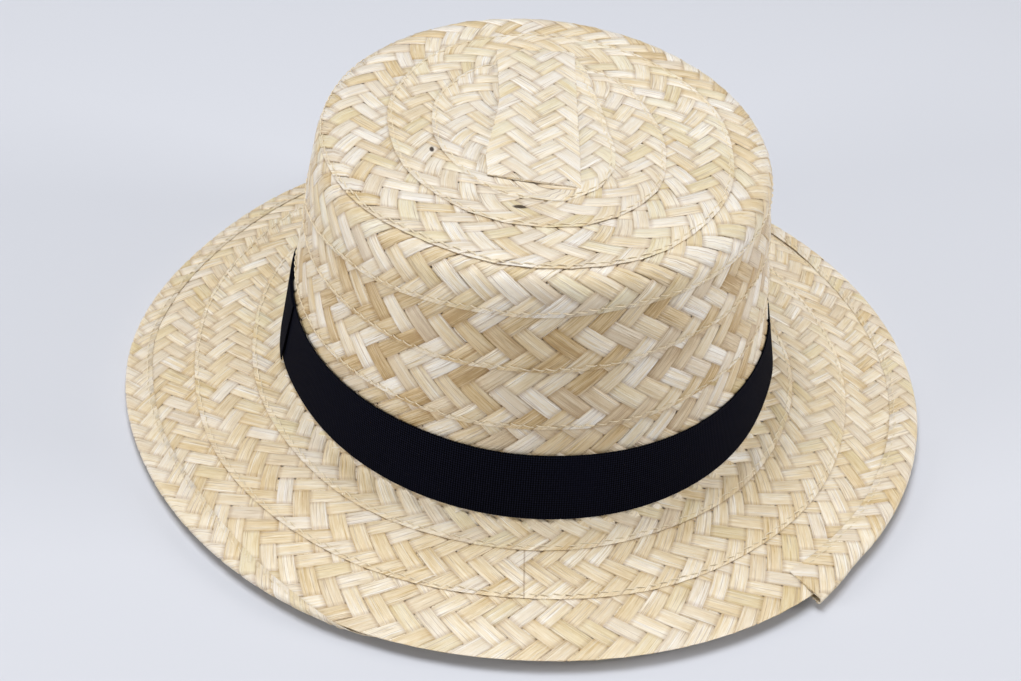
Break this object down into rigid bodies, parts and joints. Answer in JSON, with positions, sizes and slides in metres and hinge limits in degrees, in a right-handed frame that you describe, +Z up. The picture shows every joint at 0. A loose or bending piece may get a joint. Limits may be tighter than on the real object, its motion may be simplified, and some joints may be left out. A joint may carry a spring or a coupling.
{
  "type": "straw boater hat",
  "caption": "Straw boater hat of sewn plaited straw braid, with a flat oval tip, a leaning side, a gently sloping brim and a plain dark ribbon round the crown.",
  "frame": {"origin": "middle of the hat's footprint, on the surface that the brim rests on", "axes": "+Z up out of the tip, Y along the long axis of the head opening, X across it; the ribbon's lap is on the -X side and the braid's cut end at +X, -Y"},
  "size_m": [0.2838, 0.3064, 0.0984],
  "materials": {
    "straw": "natural flattened straw, plaited and sewn, with a soft sheen",
    "ribbon": "matt black ribbed ribbon"
  },
  "bodies": {
    "root": {"crown_tip": "straw", "crown_side": "straw", "brim": "straw", "hat_band": "ribbon", "band_lap": "ribbon", "braid_end": "straw"}
  },
  "joints": []
}
